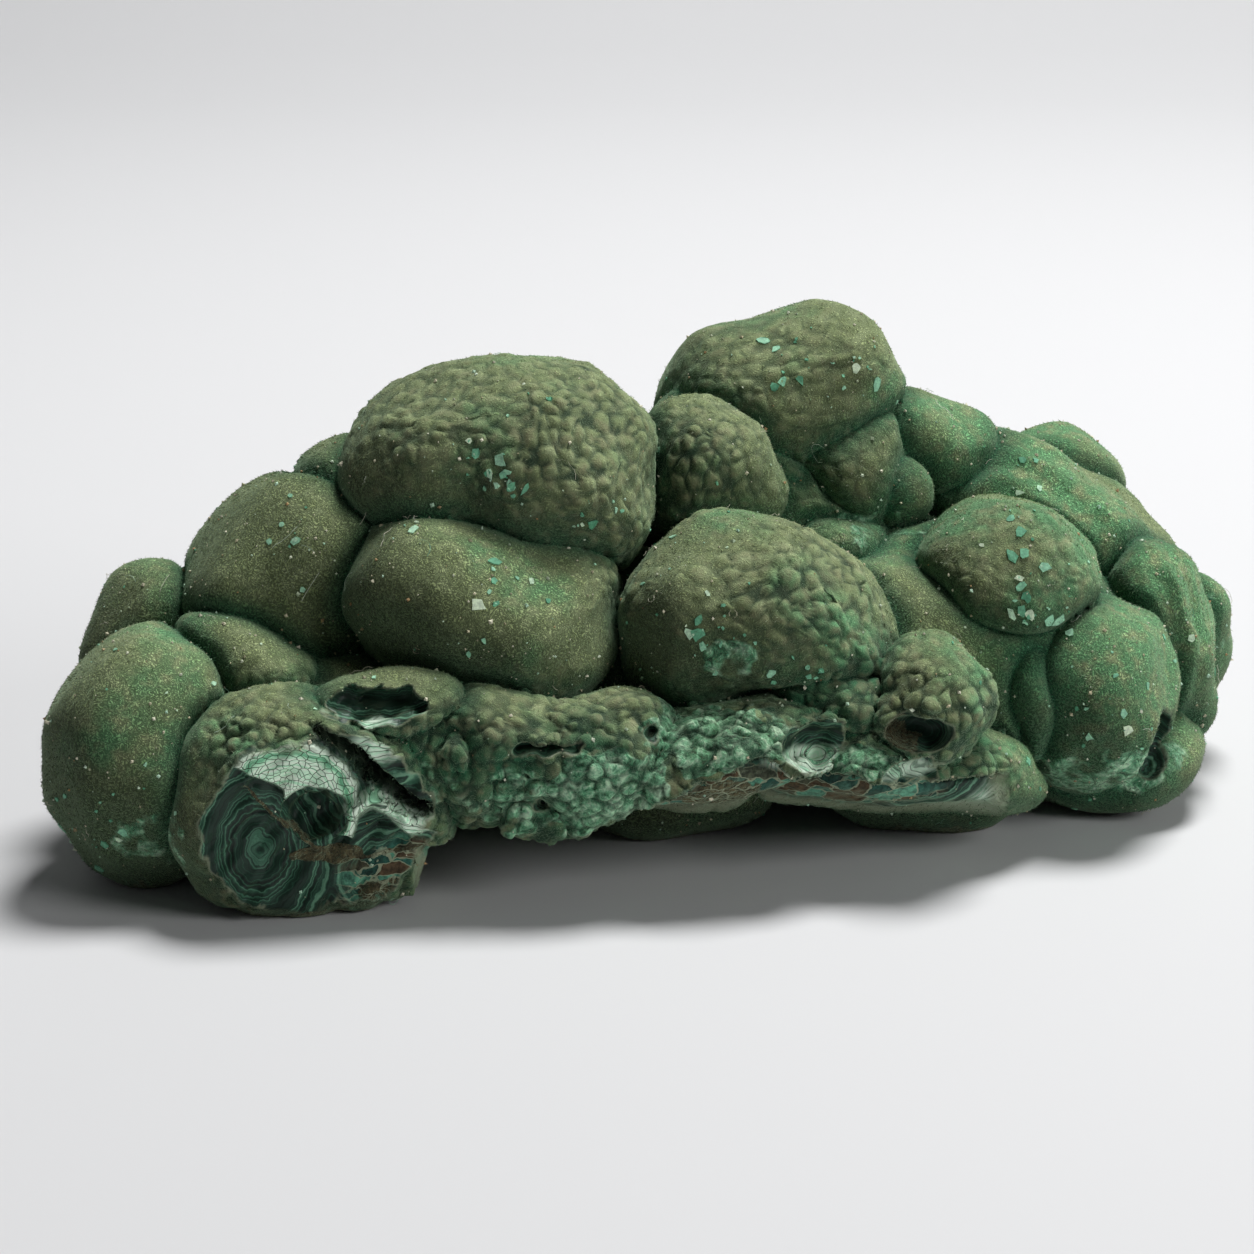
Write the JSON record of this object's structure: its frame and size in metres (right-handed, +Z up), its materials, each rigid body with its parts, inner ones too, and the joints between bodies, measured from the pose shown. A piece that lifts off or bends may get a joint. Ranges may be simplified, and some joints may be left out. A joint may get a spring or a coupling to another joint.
{
  "type": "malachite mineral specimen",
  "caption": "Botryoidal malachite hand specimen: rounded dark green bubbles fused into one mass, broken open along a banded front ledge, standing on its own rough base.",
  "frame": {"origin": "on the surface the stone stands on, under the middle of its bounding box", "axes": "+Z up, +X along the stone's length to the viewer's right, +Y away from the viewer, so the broken ledge faces -Y"},
  "size_m": [0.1494, 0.0901, 0.0609],
  "materials": {
    "malachite": "velvety, matte"
  },
  "bodies": {
    "root": {"stone": "malachite"}
  },
  "joints": []
}
